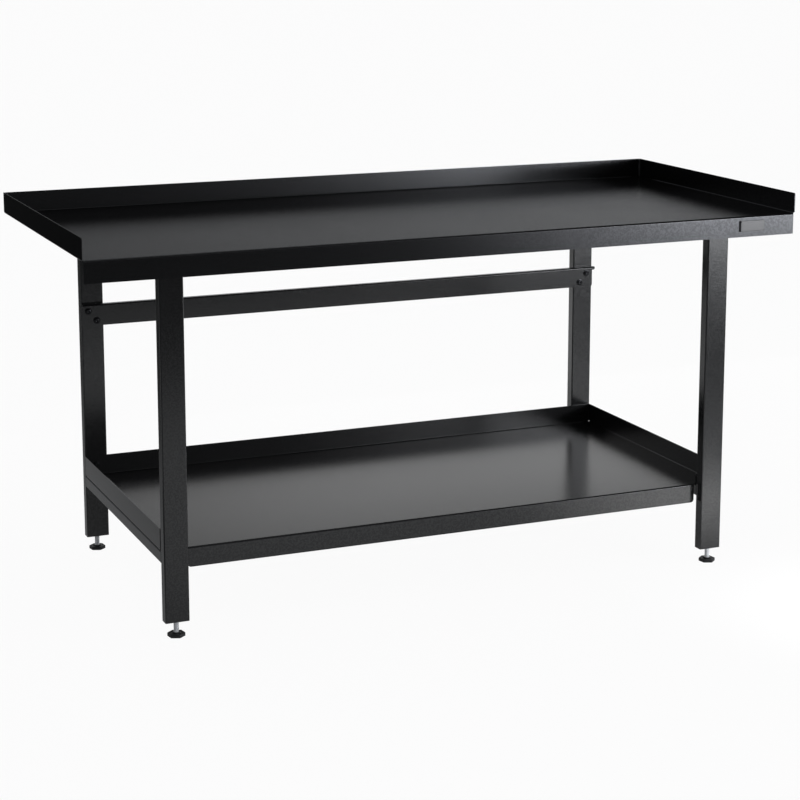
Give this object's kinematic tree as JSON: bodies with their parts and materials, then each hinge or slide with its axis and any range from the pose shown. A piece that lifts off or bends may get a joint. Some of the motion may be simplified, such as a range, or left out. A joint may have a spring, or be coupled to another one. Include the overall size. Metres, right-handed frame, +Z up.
{
  "type": "workbench",
  "caption": "Powder-coated steel workbench: folded worktop tray with back and side upstands, tube end frames, rear crossbar, folded lower shelf and screw levelling feet.",
  "frame": {"origin": "on the floor, under the middle of the worktop", "axes": "+X along the bench to the right, +Y to the back, +Z up; the open front faces -Y"},
  "size_m": [1.8, 0.774, 0.931],
  "materials": {
    "powder_coat": "fine-textured satin black powder coat on steel",
    "black_screw": "black oxide steel",
    "zinc_hardware": "bright zinc plate",
    "plug_plastic": "black moulded nylon",
    "foot_stud": "bright zinc plate on a machine thread",
    "foot_plastic": "black moulded nylon"
  },
  "bodies": {
    "bench": {"worktop": "powder_coat", "front_stiffener": "powder_coat", "rear_stiffener": "powder_coat", "shelf": "powder_coat", "shelf_stiffener": "powder_coat", "rear_crossbar": "powder_coat", "left_top_rail": "powder_coat", "left_bottom_rail": "powder_coat", "front_left_leg": "powder_coat", "rear_left_leg": "powder_coat", "right_top_rail": "powder_coat", "right_bottom_rail": "powder_coat", "front_right_leg": "powder_coat", "rear_right_leg": "powder_coat", "crossbar_screws": "black_screw", "shelf_screws": "black_screw", "crossbar_inserts": "zinc_hardware", "shelf_inserts": "zinc_hardware", "worktop_studs": "zinc_hardware", "worktop_washers": "zinc_hardware", "worktop_nuts": "zinc_hardware", "front_left_leg_plug": "plug_plastic", "front_right_leg_plug": "plug_plastic", "rear_left_leg_plug": "plug_plastic", "rear_right_leg_plug": "plug_plastic"},
    "front_left_stud": {"front_left_foot_stud": "foot_stud"},
    "front_left_base": {"front_left_foot_base": "foot_plastic"},
    "front_right_stud": {"front_right_foot_stud": "foot_stud"},
    "front_right_base": {"front_right_foot_base": "foot_plastic"},
    "rear_left_stud": {"rear_left_foot_stud": "foot_stud"},
    "rear_left_base": {"rear_left_foot_base": "foot_plastic"},
    "rear_right_stud": {"rear_right_foot_stud": "foot_stud"},
    "rear_right_base": {"rear_right_foot_base": "foot_plastic"}
  },
  "joints": [
    {"name": "front_left_foot_height", "type": "slide", "parent": "bench", "child": "front_left_stud", "axis": [0, 0, -1], "range_m": [-0.02, 0.02]},
    {"name": "front_left_foot_turn", "type": "hinge", "parent": "front_left_stud", "child": "front_left_base", "pos_m": [-0.6965, -0.3505, 0], "axis": [0, 0, -1], "range_deg": [-4120, 4120]},
    {"name": "front_right_foot_height", "type": "slide", "parent": "bench", "child": "front_right_stud", "axis": [0, 0, -1], "range_m": [-0.02, 0.02]},
    {"name": "front_right_foot_turn", "type": "hinge", "parent": "front_right_stud", "child": "front_right_base", "pos_m": [0.6965, -0.3505, 0], "axis": [0, 0, -1], "range_deg": [-4120, 4120]},
    {"name": "rear_left_foot_height", "type": "slide", "parent": "bench", "child": "rear_left_stud", "axis": [0, 0, -1], "range_m": [-0.02, 0.02]},
    {"name": "rear_left_foot_turn", "type": "hinge", "parent": "rear_left_stud", "child": "rear_left_base", "pos_m": [-0.6965, 0.3505, 0], "axis": [0, 0, -1], "range_deg": [-4120, 4120]},
    {"name": "rear_right_foot_height", "type": "slide", "parent": "bench", "child": "rear_right_stud", "axis": [0, 0, -1], "range_m": [-0.02, 0.02]},
    {"name": "rear_right_foot_turn", "type": "hinge", "parent": "rear_right_stud", "child": "rear_right_base", "pos_m": [0.6965, 0.3505, 0], "axis": [0, 0, -1], "range_deg": [-4120, 4120]}
  ],
  "couplings": [
    {"joint": "front_left_foot_turn", "follows": "front_left_foot_height", "rad_per_m": 3590.4},
    {"joint": "front_right_foot_turn", "follows": "front_right_foot_height", "rad_per_m": 3590.4},
    {"joint": "rear_left_foot_turn", "follows": "rear_left_foot_height", "rad_per_m": 3590.4},
    {"joint": "rear_right_foot_turn", "follows": "rear_right_foot_height", "rad_per_m": 3590.4}
  ]
}
